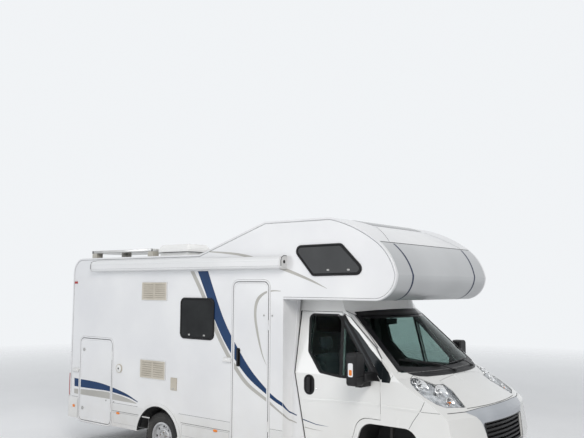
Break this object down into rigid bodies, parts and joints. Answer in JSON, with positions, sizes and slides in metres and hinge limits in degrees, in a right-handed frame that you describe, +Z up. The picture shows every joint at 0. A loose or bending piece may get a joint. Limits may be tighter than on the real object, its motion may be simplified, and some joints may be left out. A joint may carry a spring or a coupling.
{
  "type": "alcove motorhome",
  "caption": "Motorhome with a sleeping alcove over a van's cab, a side entrance door, an outside locker, a side awning and roof fittings.",
  "frame": {"origin": "on the ground, under the middle of the vehicle's length and width", "axes": "+X forward along the vehicle, +Y to its left, +Z up"},
  "size_m": [6.6318, 2.72, 3.1899],
  "materials": {
    "body_white": "gloss",
    "front_silver": "satin",
    "skirt_white": "gloss",
    "cab_white": "gloss",
    "black_plastic": "matte",
    "lamp_clear": "clear",
    "lamp_red": "gloss",
    "clear_glass": "clear",
    "dark_window": "gloss",
    "vent_beige": "matte",
    "dash_grey": "matte",
    "seat_fabric": "woven",
    "floor_board": "matte",
    "awning_white": "satin",
    "roof_fitting_white": "satin",
    "dome_white": "gloss",
    "solar_cells": "gloss",
    "chassis_black": "satin",
    "engine_grey": "matte",
    "tank_black": "matte",
    "exhaust_steel": "brushed",
    "tyre_rubber": "matte",
    "wheel_silver": "satin"
  },
  "bodies": {
    "body": {"alcove_floor": "body_white", "alcove_front": "front_silver", "awning_cassette": "awning_white", "cab_fairings": "body_white", "cab_seats": "seat_fabric", "cab_shell": "cab_white", "chassis_frame": "chassis_black", "cowl_panel": "cab_white", "dashboard": "dash_grey", "engine_and_radiator": "engine_grey", "exhaust": "exhaust_steel", "fridge_vents": "vent_beige", "front_bumper": "cab_white", "front_suspension": "chassis_black", "front_wings": "cab_white", "grille": "black_plastic", "headlamps": "lamp_clear", "living_floor": "floor_board", "living_windows": "dark_window", "rear_axle": "chassis_black", "rear_bumper": "skirt_white", "rear_wall": "body_white", "roof_panel": "body_white", "rooflight_base": "roof_fitting_white", "service_flaps": "vent_beige", "side_skirts": "skirt_white", "side_wall_left": "body_white", "side_wall_right": "body_white", "solar_panel": "solar_cells", "steering_wheel": "black_plastic", "tail_lamps": "lamp_red", "underfloor_tanks": "tank_black", "windscreen": "clear_glass"},
    "steer_left": {"knuckle_left": "chassis_black"},
    "steer_right": {"knuckle_right": "chassis_black"},
    "cab_door_left": {"cab_door_left": "cab_white", "cab_door_glass_left": "clear_glass", "mirror_left": "black_plastic"},
    "cab_door_right": {"cab_door_right": "cab_white", "cab_door_glass_right": "clear_glass", "mirror_right": "black_plastic"},
    "entrance_door": {"entrance_door": "body_white"},
    "locker_door": {"locker_door": "body_white"},
    "bonnet": {"bonnet": "cab_white"},
    "rooflight_lid": {"rooflight_lid": "dome_white"},
    "wheel_front_left": {"tyre_front_left": "tyre_rubber", "rim_front_left": "wheel_silver"},
    "wheel_front_right": {"tyre_front_right": "tyre_rubber", "rim_front_right": "wheel_silver"},
    "wheel_rear_left": {"tyre_rear_left": "tyre_rubber", "rim_rear_left": "wheel_silver"},
    "wheel_rear_right": {"tyre_rear_right": "tyre_rubber", "rim_rear_right": "wheel_silver"}
  },
  "joints": [
    {"name": "front_left_steering", "type": "hinge", "parent": "body", "child": "steer_left", "pos_m": [2.266, 0.765, 0.335], "axis": [0, 0, 1], "range_deg": [-35, 35]},
    {"name": "front_right_steering", "type": "hinge", "parent": "body", "child": "steer_right", "pos_m": [2.266, -0.765, 0.335], "axis": [0, 0, 1], "range_deg": [-35, 35]},
    {"name": "front_left_wheel_spin", "type": "hinge", "parent": "steer_left", "child": "wheel_front_left", "pos_m": [2.266, 0.905, 0.335], "axis": [0, 1, 0], "continuous": true},
    {"name": "front_right_wheel_spin", "type": "hinge", "parent": "steer_right", "child": "wheel_front_right", "pos_m": [2.266, -0.905, 0.335], "axis": [0, 1, 0], "continuous": true},
    {"name": "rear_left_wheel_spin", "type": "hinge", "parent": "body", "child": "wheel_rear_left", "pos_m": [-1.184, 0.975, 0.335], "axis": [0, 1, 0], "continuous": true},
    {"name": "rear_right_wheel_spin", "type": "hinge", "parent": "body", "child": "wheel_rear_right", "pos_m": [-1.184, -0.975, 0.335], "axis": [0, 1, 0], "continuous": true},
    {"name": "cab_door_left_hinge", "type": "hinge", "parent": "body", "child": "cab_door_left", "pos_m": [2.277, 1.025, 1.145], "axis": [0, 0, -1], "range_deg": [0, 70]},
    {"name": "cab_door_right_hinge", "type": "hinge", "parent": "body", "child": "cab_door_right", "pos_m": [2.277, -1.025, 1.145], "axis": [0, 0, 1], "range_deg": [0, 70]},
    {"name": "entrance_door_hinge", "type": "hinge", "parent": "body", "child": "entrance_door", "pos_m": [0.789, -1.16, 1.3], "axis": [0, 0, 1], "range_deg": [0, 172]},
    {"name": "locker_door_hinge", "type": "hinge", "parent": "body", "child": "locker_door", "pos_m": [-2.206, -1.16, 0.975], "axis": [0, 0, 1], "range_deg": [0, 172]},
    {"name": "bonnet_hinge", "type": "hinge", "parent": "body", "child": "bonnet", "pos_m": [2.733, 0, 1.41057], "axis": [0, -1, 0], "range_deg": [0, 55]},
    {"name": "rooflight_lid_hinge", "type": "hinge", "parent": "body", "child": "rooflight_lid", "pos_m": [-1.442, -0.78, 2.882], "axis": [0, -1, 0], "range_deg": [0, 50]}
  ],
  "couplings": [
    {"joint": "front_right_steering", "follows": "front_left_steering", "ratio": 1}
  ]
}
